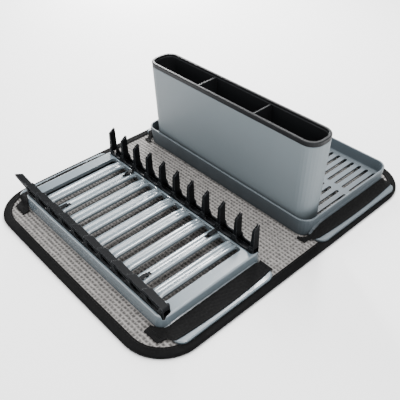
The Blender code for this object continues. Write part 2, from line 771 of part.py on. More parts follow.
def build_tray(surface):
    """The drain tray: a shallow tub raised on a skirt, with slots in its floor, and wings."""

    def ring(inset, z):
        return rectangle_ring(TRAY_X, TRAY_Y, TRAY_CORNER, (0, TRAY_CENTRE_Y), inset, z)

    rings = [
        ring(TRAY_DRAFT + TRAY_WALL, TRAY_FLOOR_TOP_Z - TRAY_FLOOR),
        ring(TRAY_DRAFT + TRAY_WALL, RACK_BASE_Z),
        ring(TRAY_DRAFT, RACK_BASE_Z),
        ring(0, TRAY_TOP_Z - 2 * TRAY_RIM_ROUND),
        ring(TRAY_RIM_ROUND, TRAY_TOP_Z),
        ring(TRAY_WALL - TRAY_RIM_ROUND, TRAY_TOP_Z),
        ring(TRAY_WALL, TRAY_TOP_Z - 2 * TRAY_RIM_ROUND),
        ring(TRAY_DRAFT + TRAY_WALL, TRAY_FLOOR_TOP_Z + TRAY_FLOOR_ROUND),
        ring(TRAY_DRAFT + TRAY_WALL + TRAY_FLOOR_ROUND, TRAY_FLOOR_TOP_Z),
    ]
    tray = add_object("drain_tray", lofted("drain_tray", rings), surface)

    slots = bmesh.new()
    slot_levels = (TRAY_FLOOR_TOP_Z - 2 * TRAY_FLOOR, TRAY_FLOOR_TOP_Z + TRAY_FLOOR)
    y = TRAY_BACK_Y - TRAY_DRAFT - TRAY_WALL - DRAIN_BACK_MARGIN
    for length in DRAIN_SLOT_LENGTHS:
        for column in range(DRAIN_COLUMNS):
            x = (column - (DRAIN_COLUMNS - 1) / 2) * DRAIN_SLOT_PITCH
            centre = (x, y - length / 2)
            add_slot_z(slots, centre, DRAIN_SLOT_WIDTH, length, *slot_levels)
        y -= length + DRAIN_BRIDGE
    boolean(tray, tool("drain_slot_tool", slots), "DIFFERENCE")

    wings = bmesh.new()
    flares = bmesh.new()
    for side in (-1, 1):
        add_wing(wings, side, TRAY_WING)
        add_flare(flares, side, TRAY_WING)
    boolean(tray, tool("tray_wing_tool", wings), "UNION")
    boolean(tray, tool("tray_flare_tool", flares), "UNION")


def caddy_ring(inset, z):
    """One level of the caddy's tapered outside, moved in by an inset."""
    share = (CADDY_TOP_Z - z) / (CADDY_TOP_Z - CADDY_BASE_Z)
    size_x = CADDY_X - 2 * CADDY_TAPER_X * share
    size_y = CADDY_Y - 2 * CADDY_TAPER_Y * share
    return rectangle_ring(size_x, size_y, CADDY_CORNER, (0, CADDY_CENTRE_Y), inset, z)


def compartment_x(index):
    """The middle of one compartment."""
    return (index - (COMPARTMENTS - 1) / 2) * CADDY_X / COMPARTMENTS


def add_caddy_drains(bm, low_z, high_z):
    """A drain slot under each compartment, long in X."""
    for index in range(COMPARTMENTS):
        half_width = CADDY_DRAIN_WIDTH / 2
        outline = rounded_outline(CADDY_DRAIN_LENGTH / 2, half_width, half_width - END_FLAT, steps=3)
        rings = []
        for z in (low_z, high_z):
            rings.append([Vector((compartment_x(index) + p.x, CADDY_CENTRE_Y + p.y, z)) for p in outline])
        loft(bm, rings)


def build_caddy(sleeve_surface, liner_surface):
    """The caddy's outer sleeve, and the liner with its rim band and dividers."""
    floor_z = CADDY_BASE_Z + CADDY_WALL
    sleeve_rings = [
        caddy_ring(CADDY_FOOT_ROUND, CADDY_BASE_Z),
        caddy_ring(0, CADDY_BASE_Z + CADDY_FOOT_ROUND),
        caddy_ring(0, SLEEVE_TOP_Z),
        caddy_ring(CADDY_WALL, SLEEVE_TOP_Z),
        caddy_ring(CADDY_WALL, floor_z),
    ]
    sleeve = add_object("caddy_sleeve", lofted("caddy_sleeve", sleeve_rings), sleeve_surface)
    smooth(sleeve)
    drains = bmesh.new()
    add_caddy_drains(drains, CADDY_BASE_Z - CADDY_WALL, floor_z + CADDY_WALL)
    boolean(sleeve, tool("sleeve_drain_tool", drains), "DIFFERENCE")

    liner_base_z = floor_z + GAP
    body_inset = CADDY_WALL + LINER_FIT
    liner_rings = [
        caddy_ring(body_inset, liner_base_z),
        caddy_ring(body_inset, SLEEVE_TOP_Z + GAP),
        caddy_ring(LINER_ROUND / 4, SLEEVE_TOP_Z + GAP),
        caddy_ring(0, SLEEVE_TOP_Z + GAP + LINER_ROUND),
        caddy_ring(0, CADDY_TOP_Z - LINER_ROUND),
        caddy_ring(LINER_ROUND, CADDY_TOP_Z),
    ]
    liner = add_object("caddy_liner", lofted("caddy_liner", liner_rings), liner_surface)
    smooth(liner)
    mouth = bmesh.new()
    mouth_inset = body_inset + LINER_WALL
    mouth_levels = (CADDY_TOP_Z - DIVIDER_DROP, CADDY_TOP_Z + DIVIDER_DROP)
    loft(mouth, [caddy_ring(mouth_inset - MOUTH_STEP, z) for z in mouth_levels])
    boolean(liner, tool("liner_mouth_tool", mouth), "DIFFERENCE")
    pocket = bmesh.new()
    pocket_levels = (liner_base_z + LINER_FLOOR, CADDY_TOP_Z - DIVIDER_DROP / 2)
    loft(pocket, [caddy_ring(mouth_inset, z) for z in pocket_levels])
    pocket_tool = tool("liner_pocket_tool", pocket)
    dividers = bmesh.new()
    for index in range(1, COMPARTMENTS):
        half = Vector((DIVIDER_THICKNESS / 2, CADDY_Y, 2 * CADDY_TOP_Z))
        middle = Vector((compartment_x(index - 0.5), CADDY_CENTRE_Y, 0))
        add_box(dividers, middle - half, middle + half)
    boolean(pocket_tool, tool("divider_tool", dividers), "DIFFERENCE")
    boolean(liner, pocket_tool, "DIFFERENCE")
    liner_drains = bmesh.new()
    add_caddy_drains(liner_drains, liner_base_z - GAP / 3, liner_base_z + 2 * LINER_FLOOR)
    boolean(liner, tool("liner_drain_tool", liner_drains), "DIFFERENCE")


def main():
    """Clears the scene and builds every piece of the drying rack."""
    for existing in list(bpy.data.objects):
        bpy.data.objects.remove(existing)

    grey = material("grey_plastic", (0.42, 0.47, 0.51), 0.35)
    tray_grey = material("tray_plastic", (0.30, 0.35, 0.38), 0.4)
    sleeve_grey = material("sleeve_plastic", (0.24, 0.29, 0.32), 0.45)
    black = material("black_plastic", (0.02, 0.022, 0.024), 0.5)
    liner_black = material("liner_plastic", (0.03, 0.03, 0.032), 0.5)
    strap_fabric = material("strap_fabric", (0.015, 0.015, 0.016), 0.9)
    pad_fabric = material("pad_fabric", (0.30, 0.28, 0.27), 0.95)
    binding_fabric = material("binding_fabric", (0.012, 0.012, 0.012), 0.9)

    build_mat(pad_fabric, binding_fabric)
    build_rack_frame(grey)
    for name, side, folded in (("front", -1, True), ("back", 1, False)):
        build_channel(f"tine_channel_{name}", side, black)
        build_tines(f"tine_{name}", side, folded, black)
    build_tray(tray_grey)
    build_caddy(sleeve_grey, liner_black)

    for side, end in ((-1, "left"), (1, "right")):
        build_strap(f"rack_strap_{end}", side, RACK_WING, strap_fabric)
        build_strap(f"tray_strap_{end}", side, TRAY_WING, strap_fabric)


main()
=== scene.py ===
"""Looks for a dish drying rack.

A plate rack, a drain tray and a utensil caddy stand on a waffle-knit drying mat, and straps
hold the rack and the tray down.
"""

import logging
import math
from dataclasses import dataclass, field
from enum import Enum

import bmesh
import bpy
from mathutils import Matrix, Vector, noise


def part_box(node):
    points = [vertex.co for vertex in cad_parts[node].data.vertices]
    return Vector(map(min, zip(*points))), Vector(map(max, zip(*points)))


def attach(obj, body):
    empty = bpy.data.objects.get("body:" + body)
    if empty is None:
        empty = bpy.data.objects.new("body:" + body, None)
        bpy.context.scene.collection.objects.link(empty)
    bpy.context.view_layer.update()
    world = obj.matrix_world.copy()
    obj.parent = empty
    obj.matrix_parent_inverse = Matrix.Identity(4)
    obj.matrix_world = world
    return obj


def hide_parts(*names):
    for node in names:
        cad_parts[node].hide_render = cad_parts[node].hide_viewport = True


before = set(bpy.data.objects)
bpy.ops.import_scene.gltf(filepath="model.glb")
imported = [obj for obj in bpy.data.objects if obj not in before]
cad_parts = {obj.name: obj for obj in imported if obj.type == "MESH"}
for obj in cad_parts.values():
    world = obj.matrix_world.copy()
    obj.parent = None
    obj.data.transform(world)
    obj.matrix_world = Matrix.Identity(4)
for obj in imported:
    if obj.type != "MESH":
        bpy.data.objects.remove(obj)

LOG = logging.getLogger("dish_drying_rack")
MM = 0.001
UP = Vector((0, 0, 1))
Colour = tuple[float, float, float]
Place = tuple[float, float, float]
WHITE: Colour = (1.0, 1.0, 1.0)


class Side(Enum):
    """The two ends of the rack, along X."""

    LEFT = -1
    RIGHT = 1


class Effect(Enum):
    """The shared effects that a finish can use."""

    MOULDED = "moulded_skin"
    WAFFLE = "waffle_knit"
    WEBBING = "woven_web"


def ripple(x: float, y: float, frequency: float, seed: float) -> float:
    """Smooth noise that depends only on the place, so every run gives the same shape.

    Args:
        x: The place's X.
        y: The place's Y.
        frequency: How quickly it varies, in waves a metre.
        seed: Which pattern it is.

    Returns:
        A value from -1 to 1.
    """
    return noise.noise(Vector((x * frequency, y * frequency, seed)))


def socket_value(value: object) -> object:
    """A plain value as a socket takes it: a colour gains its alpha."""
    return (*value, 1.0) if isinstance(value, tuple) else value


class Nodes:
    """Short ways to add and join the nodes of one shader tree."""

    def __init__(self, tree: bpy.types.NodeTree) -> None:
        """Keeps the tree that nodes are added to."""
        self.tree = tree

    def add(self, kind: str, **settings: object) -> bpy.types.Node:
        """Adds a node.

        Args:
            kind: The node's Blender type.
            settings: Properties to set on it.

        Returns:
            The new node.
        """
        node = self.tree.nodes.new(kind)
        for name, value in settings.items():
            setattr(node, name, value)
        return node

    def feed(self, value: object, socket: bpy.types.NodeSocket) -> None:
        """Links a socket to another, or sets it to a plain value.

        Args:
            value: The socket or the plain value to feed in.
            socket: The input that takes it.
        """
        if isinstance(value, bpy.types.NodeSocket):
            self.tree.links.new(value, socket)
        else:
            socket.default_value = value

    def maths(self, operation: str, *values: object, clamp: bool = False) -> bpy.types.NodeSocket:
        """Adds a Math node.

        Args:
            operation: The operation's Blender name.
            values: Its inputs, each a socket or a number.
            clamp: Whether the result stays between 0 and 1.

        Returns:
            The result's socket.
        """
        node = self.add("ShaderNodeMath", operation=operation, use_clamp=clamp)
        for value, socket in zip(values, node.inputs):
            self.feed(value, socket)
        return node.outputs[0]

    def blend(self, share: object, first: object, second: object) -> bpy.types.NodeSocket:
        """Mixes two colours.

        Args:
            share: How much of the second colour shows, from 0 to 1.
            first: The first colour.
            second: The second colour.

        Returns:
            The mixed colour's socket.
        """
        node = self.add("ShaderNodeMix", data_type="RGBA")
        self.feed(share, node.inputs[0])
        self.feed(first, node.inputs[6])
        self.feed(second, node.inputs[7])
        return node.outputs[2]

    def noise(
        self, place: bpy.types.NodeSocket, scale: object, detail: float = 2.0
    ) -> bpy.types.NodeSocket:
        """Adds a noise texture.

        Args:
            place: The coordinates it is read at.
            scale: Its scale, in waves a metre.
            detail: Its number of octaves.

        Returns:
            The noise value's socket.
        """
        node = self.add("ShaderNodeTexNoise")
        self.feed(place, node.inputs["Vector"])
        self.feed(scale, node.inputs["Scale"])
        node.inputs["Detail"].default_value = detail
        return node.outputs[0]

    def place(self) -> bpy.types.NodeSocket:
        """The coordinates in the piece's own space, in metres."""
        return self.add("ShaderNodeTexCoord").outputs["Object"]


class GroupMaker:
    """A shader node group with named inputs and outputs."""

    def __init__(self, name: str, inputs: dict[str, object], outputs: dict[str, str]) -> None:
        """Makes an empty group.

        Args:
            name: The group's name.
            inputs: Each input's name and its resting value; a tuple is a colour.
            outputs: Each output's name and its socket type.
        """
        self.tree = bpy.data.node_groups.new(name, "ShaderNodeTree")
        for label, value in inputs.items():
            kind = "NodeSocketColor" if isinstance(value, tuple) else "NodeSocketFloat"
            socket = self.tree.interface.new_socket(name=label, in_out="INPUT", socket_type=kind)
            socket.default_value = socket_value(value)
        for label, kind in outputs.items():
            self.tree.interface.new_socket(name=label, in_out="OUTPUT", socket_type=kind)
        self.nodes = Nodes(self.tree)
        self.given = self.nodes.add("NodeGroupInput").outputs
        self.result = self.nodes.add("NodeGroupOutput").inputs

    def give(self, name: str, value: object) -> None:
        """Feeds one of the group's outputs."""
        self.nodes.feed(value, self.result[name])


class SharedEffects:
    """The node groups that several finishes use."""

    COLOUR = "NodeSocketColor"
    VALUE = "NodeSocketFloat"
    NORMAL = "NodeSocketVector"

    def __init__(self) -> None:
        """Builds every shared group once."""
        self.trees = {
            Effect.MOULDED: self.moulded_skin(),
            Effect.WAFFLE: self.waffle_knit(),
            Effect.WEBBING: self.woven_web(),
        }

    def moulded_skin(self) -> bpy.types.NodeTree:
        """Moulded plastic: fine spark grain, slow colour drift, rounded edges painted lighter
        (partly as wear, partly as painted highlight), and painted shade in cavities and near other
        surfaces.

        Returns:
            The group's tree.
        """
        maker = GroupMaker(
            Effect.MOULDED.value,
            {"Base": (0.5, 0.5, 0.5), "Shade": (0.4, 0.4, 0.4), "Edge": (0.7, 0.7, 0.7),
             "Painted Shade Colour": (0.05, 0.05, 0.05), "Roughness": 0.4, "Grain": 1500.0, "Edge Width": 0.0006,
             "Edge Wear And Highlight": 0.5, "Painted Shade Strength": 0.5, "Painted Shade Reach": 0.035},
            {"Colour": self.COLOUR, "Roughness": self.VALUE, "Height": self.VALUE,
             "Normal": self.NORMAL},
        )
        nodes, given = maker.nodes, maker.given
        place = nodes.place()
        grain = nodes.noise(place, given["Grain"], 3.0)
        drift = nodes.noise(place, 14.0, 2.0)
        scuff = nodes.noise(place, 160.0, 4.0)
        bevel = nodes.add("ShaderNodeBevel", samples=6)
        nodes.feed(given["Edge Width"], bevel.inputs["Radius"])
        surface = nodes.add("ShaderNodeNewGeometry")
        facing = nodes.add("ShaderNodeVectorMath", operation="DOT_PRODUCT")
        nodes.feed(bevel.outputs[0], facing.inputs[0])
        nodes.feed(surface.outputs["Normal"], facing.inputs[1])
        turned = nodes.maths("SUBTRACT", 1.0, facing.outputs["Value"])
        edge = nodes.maths("MULTIPLY", turned, 9.0, clamp=True)
        # Painted highlight and wear: edges are painted in the lighter edge colour, broken up by
        # noise. This stands partly for rub wear and partly for light catching the edges.
        patchy_edge = nodes.maths("MULTIPLY", edge, scuff)
        edge_wear_and_highlight = nodes.maths("MULTIPLY", patchy_edge, given["Edge Wear And Highlight"], clamp=True)
        body = nodes.blend(nodes.maths("MULTIPLY", drift, 0.6), given["Base"], given["Shade"])
        speckled = nodes.blend(nodes.maths("MULTIPLY", grain, 0.16), body, given["Shade"])
        # Painted shade: ambient occlusion darkens cavities and spots close to other surfaces
        # towards the dark shade colour, over the given distance and strength.
        occlusion_probe = nodes.add("ShaderNodeAmbientOcclusion", samples=8)
        nodes.feed(given["Painted Shade Reach"], occlusion_probe.inputs["Distance"])
        occlusion_share = nodes.maths("SUBTRACT", 1.0, occlusion_probe.outputs["AO"])
        occlusion_curve = nodes.maths("POWER", occlusion_share, 1.3)
        painted_shade_mask = nodes.maths("MULTIPLY", occlusion_curve, given["Painted Shade Strength"], clamp=True)
        with_painted_shade = nodes.blend(painted_shade_mask, speckled, given["Painted Shade Colour"])
        maker.give("Colour", nodes.blend(edge_wear_and_highlight, with_painted_shade, given["Edge"]))
        rough = nodes.maths("MULTIPLY_ADD", grain, 0.10, given["Roughness"])
        rough = nodes.maths("MULTIPLY_ADD", scuff, 0.06, rough)
        maker.give("Roughness", nodes.maths("MULTIPLY_ADD", edge, -0.08, rough, clamp=True))
        maker.give("Height", grain)
        maker.give("Normal", bevel.outputs[0])
        return maker.tree

    def waffle_knit(self) -> bpy.types.NodeTree:
        """Waffle-knit microfibre: raised ribs round sunken cells, with a fleecy yarn; the cells are
        painted much darker as painted shade.

        Returns:
            The group's tree.
        """
        maker = GroupMaker(
            Effect.WAFFLE.value,
            {"Rib": (0.6, 0.58, 0.56), "Cell Painted Shade": (0.2, 0.2, 0.2), "Yarn": (0.4, 0.4, 0.4),
             "Pitch": 0.005},
            {"Colour": self.COLOUR, "Roughness": self.VALUE, "Height": self.VALUE},
        )
        nodes, given = maker.nodes, maker.given
        place = nodes.place()
        drift = nodes.add("ShaderNodeTexNoise")
        nodes.feed(place, drift.inputs["Vector"])
        drift.inputs["Scale"].default_value = 170.0
        sway = nodes.add("ShaderNodeVectorMath", operation="MULTIPLY_ADD")
        nodes.feed(drift.outputs["Color"], sway.inputs[0])
        sway.inputs[1].default_value = (0.0018, 0.0018, 0.0)
        nodes.feed(place, sway.inputs[2])
        axes = nodes.add("ShaderNodeSeparateXYZ")
        nodes.feed(sway.outputs[0], axes.inputs[0])
        ribs = []
        for axis in (0, 1):
            turns = nodes.maths("DIVIDE", axes.outputs[axis], given["Pitch"])
            away = nodes.maths("SUBTRACT", nodes.maths("FRACT", turns), 0.5)
            ribs.append(nodes.maths("MULTIPLY", nodes.maths("ABSOLUTE", away), 2.0))
        rib = nodes.maths("POWER", nodes.maths("MAXIMUM", *ribs), 1.8)
        yarn = nodes.noise(place, 1500.0, 3.0)
        patch = nodes.noise(place, 260.0, 3.0)
        lift = nodes.maths("MULTIPLY_ADD", patch, 1.5, -0.8)
        unshaded_share = nodes.maths("ADD", rib, lift, clamp=True)
        # Painted shade: the sunken cells get the much darker cell colour, standing in for the shade
        # in the knit's pits; noise lifts some of them.
        knit_with_cell_shade = nodes.blend(unshaded_share, given["Cell Painted Shade"], given["Rib"])
        fleece = nodes.maths("MULTIPLY", yarn, 0.55)
        maker.give("Colour", nodes.blend(fleece, knit_with_cell_shade, given["Yarn"]))
        maker.give("Roughness", nodes.maths("MULTIPLY_ADD", yarn, 0.2, 0.78, clamp=True))
        ridge = nodes.maths("MULTIPLY", rib, 0.4)
        maker.give("Height", nodes.maths("MULTIPLY_ADD", yarn, 0.6, ridge))
        return maker.tree

    def woven_web(self) -> bpy.types.NodeTree:
        """Woven tape or elastic: warp and weft that cross, with a little fluff.

        Returns:
            The group's tree.
        """
        maker = GroupMaker(
            Effect.WEBBING.value,
            {"Thread": (0.03, 0.03, 0.03), "Gap": (0.005, 0.005, 0.005), "Lint": (0.1, 0.1, 0.1),
             "Warp": 0.0012, "Weft": 0.0009},
            {"Colour": self.COLOUR, "Roughness": self.VALUE, "Height": self.VALUE},
        )
        nodes, given = maker.nodes, maker.given
        place = nodes.place()
        axes = nodes.add("ShaderNodeSeparateXYZ")
        nodes.feed(place, axes.inputs[0])
        threads = []
        for axis, period in ((0, "Warp"), (1, "Weft")):
            turns = nodes.maths("DIVIDE", axes.outputs[axis], given[period])
            wave = nodes.maths("SINE", nodes.maths("MULTIPLY", turns, math.tau))
            threads.append(wave)
        weave = nodes.maths("MULTIPLY_ADD", nodes.maths("MULTIPLY", *threads), 0.5, 0.5)
        lint = nodes.noise(place, 420.0, 4.0)
        fold = nodes.noise(place, 40.0, 2.0)
        cloth = nodes.blend(weave, given["Gap"], given["Thread"])
        fluff = nodes.maths("MULTIPLY", nodes.maths("POWER", lint, 3.0), 0.8, clamp=True)
        maker.give("Colour", nodes.blend(fluff, cloth, given["Lint"]))
        maker.give("Roughness", nodes.maths("MULTIPLY_ADD", fold, 0.2, 0.68, clamp=True))
        maker.give("Height", nodes.maths("MULTIPLY_ADD", lint, 0.3, weave))
        return maker.tree


@dataclass(frozen=True)
class Finish:
    """A finish that is built into one Principled material.

    Attributes:
        name: The material's name.
        effect: The shared effect that it uses.
        settings: The values of the group's inputs.
        bump: The height of the bump, in metres.
        sockets: Values set on the shader's own sockets.
    """

    name: str
    effect: Effect
    settings: dict[str, object]
    bump: float
    sockets: dict[str, object] = field(default_factory=dict)

    def material(self, effects: SharedEffects) -> bpy.types.Material:
        """Builds the material.

        Args:
            effects: The shared node groups.

        Returns:
            The new material.
        """
        made = bpy.data.materials.new(self.name)
        made.use_nodes = True
        nodes = Nodes(made.node_tree)
        shader = made.node_tree.nodes["Principled BSDF"]
        effect = nodes.add("ShaderNodeGroup", node_tree=effects.trees[self.effect])
        for label, value in self.settings.items():
            effect.inputs[label].default_value = socket_value(value)
        nodes.feed(effect.outputs["Colour"], shader.inputs["Base Color"])
        nodes.feed(effect.outputs["Roughness"], shader.inputs["Roughness"])
        bump = nodes.add("ShaderNodeBump")
        bump.inputs["Strength"].default_value = 1.0
        bump.inputs["Distance"].default_value = self.bump
        nodes.feed(effect.outputs["Height"], bump.inputs["Height"])
        if "Normal" in effect.outputs:
            nodes.feed(effect.outputs["Normal"], bump.inputs["Normal"])
        nodes.feed(bump.outputs[0], shader.inputs["Normal"])
        for label, value in self.sockets.items():
            shader.inputs[label].default_value = socket_value(value)
        return made


# In each moulded finish, the edge colour is painted along edges, partly as wear and partly as
# painted highlight. The dark colour, with its strength and distance, sets painted shade in cavities
# and near other surfaces.
GREY_SATIN = Finish(
    "satin_grey_plastic", Effect.MOULDED,
    {"Base": (0.135, 0.168, 0.190), "Shade": (0.108, 0.138, 0.158), "Edge": (0.42, 0.46, 0.49),
     "Painted Shade Colour": (0.012, 0.016, 0.020), "Roughness": 0.17, "Grain": 1400.0, "Edge Width": 0.0006,
     "Edge Wear And Highlight": 0.6, "Painted Shade Strength": 1.0},
    0.00001, {"Specular IOR Level": 0.9, "Coat Weight": 0.5, "Coat Roughness": 0.10},
)
# The tray's long shade distance paints shadow over its floor and inner walls near the caddy and
# near its own walls.
TRAY_GREY = Finish(
    "tray_grey_plastic", Effect.MOULDED,
    {"Base": (0.086, 0.106, 0.121), "Shade": (0.068, 0.086, 0.099), "Edge": (0.36, 0.40, 0.43),
     "Painted Shade Colour": (0.004, 0.006, 0.008), "Roughness": 0.36, "Grain": 1400.0, "Edge Width": 0.0010,
     "Edge Wear And Highlight": 0.8, "Painted Shade Strength": 1.0, "Painted Shade Reach": 0.09},
    0.00002, {"Specular IOR Level": 0.35},
)
SLEEVE_GREY = Finish(
    "sleeve_grey_plastic", Effect.MOULDED,
    {"Base": (0.150, 0.178, 0.193), "Shade": (0.128, 0.154, 0.168), "Edge": (0.27, 0.31, 0.34),
     "Painted Shade Colour": (0.05, 0.06, 0.07), "Roughness": 0.42, "Grain": 1100.0, "Edge Width": 0.0008,
     "Edge Wear And Highlight": 0.5, "Painted Shade Strength": 0.12},
    0.000025, {"Specular IOR Level": 0.35},
)
BLACK_PLASTIC = Finish(
    "black_plastic", Effect.MOULDED,
    {"Base": (0.0042, 0.0047, 0.0054), "Shade": (0.003, 0.0034, 0.004),
     "Edge": (0.12, 0.13, 0.14), "Painted Shade Colour": (0.001, 0.001, 0.001), "Roughness": 0.34,
     "Grain": 1600.0, "Edge Width": 0.0005, "Edge Wear And Highlight": 0.9, "Painted Shade Strength": 0.3},
    0.00002, {"Specular IOR Level": 0.05},
)
LINER_PLASTIC = Finish(
    "charcoal_liner_plastic", Effect.MOULDED,
    {"Base": (0.010, 0.0105, 0.0115), "Shade": (0.008, 0.0085, 0.0095),
     "Edge": (0.055, 0.058, 0.062), "Painted Shade Colour": (0.002, 0.002, 0.002), "Roughness": 0.36,
     "Grain": 1300.0, "Edge Width": 0.0008, "Edge Wear And Highlight": 0.7, "Painted Shade Strength": 0.6},
    0.00002, {"Specular IOR Level": 0.12},
)
# The cell colour is painted shade in the knit's pits; the rib colour is the cloth's own.
WAFFLE = Finish(
    "waffle_microfibre", Effect.WAFFLE,
    {"Rib": (0.30, 0.285, 0.273), "Cell Painted Shade": (0.022, 0.021, 0.020), "Yarn": (0.15, 0.143, 0.137),
     "Pitch": 0.0052},
    0.0003, {"Sheen Weight": 0.1, "Sheen Roughness": 0.6, "Specular IOR Level": 0.15},
)
BINDING_TAPE = Finish(
    "black_binding_tape", Effect.WEBBING,
    {"Thread": (0.0045, 0.0045, 0.0048), "Gap": (0.0015, 0.0015, 0.0015),
     "Lint": (0.012, 0.012, 0.012), "Warp": 0.0014, "Weft": 0.0014},
    0.00012, {"Specular IOR Level": 0.05},
)
STRAP_WEB = Finish(
    "black_elastic_webbing", Effect.WEBBING,
    {"Thread": (0.0065, 0.0065, 0.0068), "Gap": (0.003, 0.003, 0.003),
     "Lint": (0.016, 0.016, 0.016), "Warp": 0.0016, "Weft": 0.0011},
    0.00010, {"Specular IOR Level": 0.06},
)
THREAD = Finish(
    "black_thread", Effect.WEBBING,
    {"Thread": (0.012, 0.012, 0.012), "Gap": (0.004, 0.004, 0.004), "Lint": (0.03, 0.03, 0.03),
     "Warp": 0.0005, "Weft": 0.0005},
    0.00005, {"Specular IOR Level": 0.2},
)


def new_piece(
    name: str, bm: bmesh.types.BMesh, material: bpy.types.Material
) -> bpy.types.Object:
    """Turns a bmesh into a smooth-shaded piece that rides on the mat's body.

    Args:
        name: The piece's name.
        bm: Its mesh, which is freed.
        material: Its finish.

    Returns:
        The new object.
    """
    bmesh.ops.recalc_face_normals(bm, faces=bm.faces)
    for face in bm.faces:
        face.smooth = True
    mesh = bpy.data.meshes.new(name)
    bm.to_mesh(mesh)
    bm.free()
    piece = bpy.data.objects.new(name, mesh)
    bpy.context.scene.collection.objects.link(piece)
    mesh.materials.append(material)
    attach(piece, "mat_and_racks")
    LOG.info("%s: %d faces", name, len(mesh.polygons))
    return piece


def join_rows(
    bm: bmesh.types.BMesh, rows: list[list[Vector]], around: bool = False, along: bool = False
) -> None:
    """Skins rows of points with quads.

    Args:
        bm: The mesh that the skin is added to.
        rows: The rows, all of one length.
        around: Whether each row closes on itself.
        along: Whether the last row joins the first.
    """
    grid = [[bm.verts.new(point) for point in row] for row in rows]
    count = len(grid[0])
    for index in range(len(grid) if along else len(grid) - 1):
        low, high = grid[index], grid[(index + 1) % len(grid)]
        for step in range(count if around else count - 1):
            after = (step + 1) % count
            bm.faces.new((low[step], low[after], high[after], high[step]))


def add_stitch(bm: bmesh.types.BMesh, start: Vector, end: Vector, radius: float) -> None:
    """Adds one stitch: a short arched thread that dives into the cloth at both ends.

    Args:
        bm: The mesh that the stitch is added to.
        start: Where the thread comes up.
        end: Where it goes down.
        radius: The thread's radius.
    """
    steps, sides = 4, 6
    along = (end - start).normalized()
    across = along.cross(UP).normalized()
    rows = []
    for step in range(steps + 1):
        share = step / steps
        arch = math.sin(math.pi * share)
        centre = start.lerp(end, share) + UP * radius * (0.9 * arch - 0.3)
        size = radius * (0.45 + 0.55 * arch)
        rows.append([
            centre + size * (math.cos(turn) * across + math.sin(turn) * UP)
            for turn in (math.tau * corner / sides for corner in range(sides))
        ])
    join_rows(bm, rows, around=True)
    for row in (rows[0], rows[-1]):
        bm.faces.new([bm.verts.new(point) for point in row])


